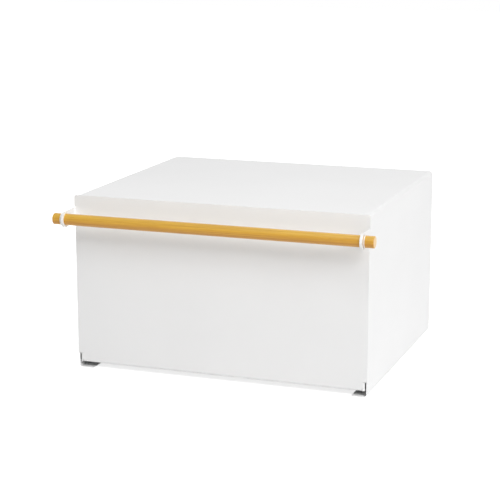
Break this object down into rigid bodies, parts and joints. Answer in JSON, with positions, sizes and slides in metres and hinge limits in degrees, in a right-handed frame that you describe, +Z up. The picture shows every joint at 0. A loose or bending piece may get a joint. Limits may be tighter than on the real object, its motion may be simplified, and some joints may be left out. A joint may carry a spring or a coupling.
{
  "type": "bread box",
  "caption": "Counter-top bread box of folded white steel with a raised floor and a full-height drop-front door, hinged at its lower edge and pulled by a round wooden bar.",
  "frame": {"origin": "middle of the overall footprint (box and handle), at counter level", "axes": "+X to the right of someone facing the door, +Y from the door to the back, +Z up"},
  "size_m": [0.43, 0.3804, 0.235],
  "materials": {
    "white_powder_coat": "fine matte powder coat",
    "lacquered_wood": "clear lacquer, satin",
    "white_nylon": "satin moulded",
    "black_nylon": "satin moulded",
    "nickel_plate": "nickel plated",
    "coated_steel_pin": "turned",
    "silicone": "matte translucent"
  },
  "bodies": {
    "box": {"body_shell": "white_powder_coat", "back_panel": "white_powder_coat", "floor_panel": "white_powder_coat", "front_rail": "white_powder_coat", "catch_cup_left": "white_nylon", "catch_magnet_left": "nickel_plate", "pivot_pin_left": "coated_steel_pin", "pivot_washer_left": "black_nylon", "foot_pad_front_left": "silicone", "foot_pad_rear_left": "silicone", "catch_cup_right": "white_nylon", "catch_magnet_right": "nickel_plate", "pivot_pin_right": "coated_steel_pin", "pivot_washer_right": "black_nylon", "foot_pad_front_right": "silicone", "foot_pad_rear_right": "silicone"},
    "door": {"door_panel": "white_powder_coat", "handle_bar": "lacquered_wood", "handle_bush_left": "white_nylon", "handle_bush_right": "white_nylon", "bush_ring_left": "white_nylon", "bush_ring_right": "white_nylon"}
  },
  "joints": [
    {"name": "door_hinge", "type": "hinge", "parent": "box", "child": "door", "pos_m": [0, -0.14375, 0.0145], "axis": [1, 0, 0], "range_deg": [0, 80]}
  ]
}
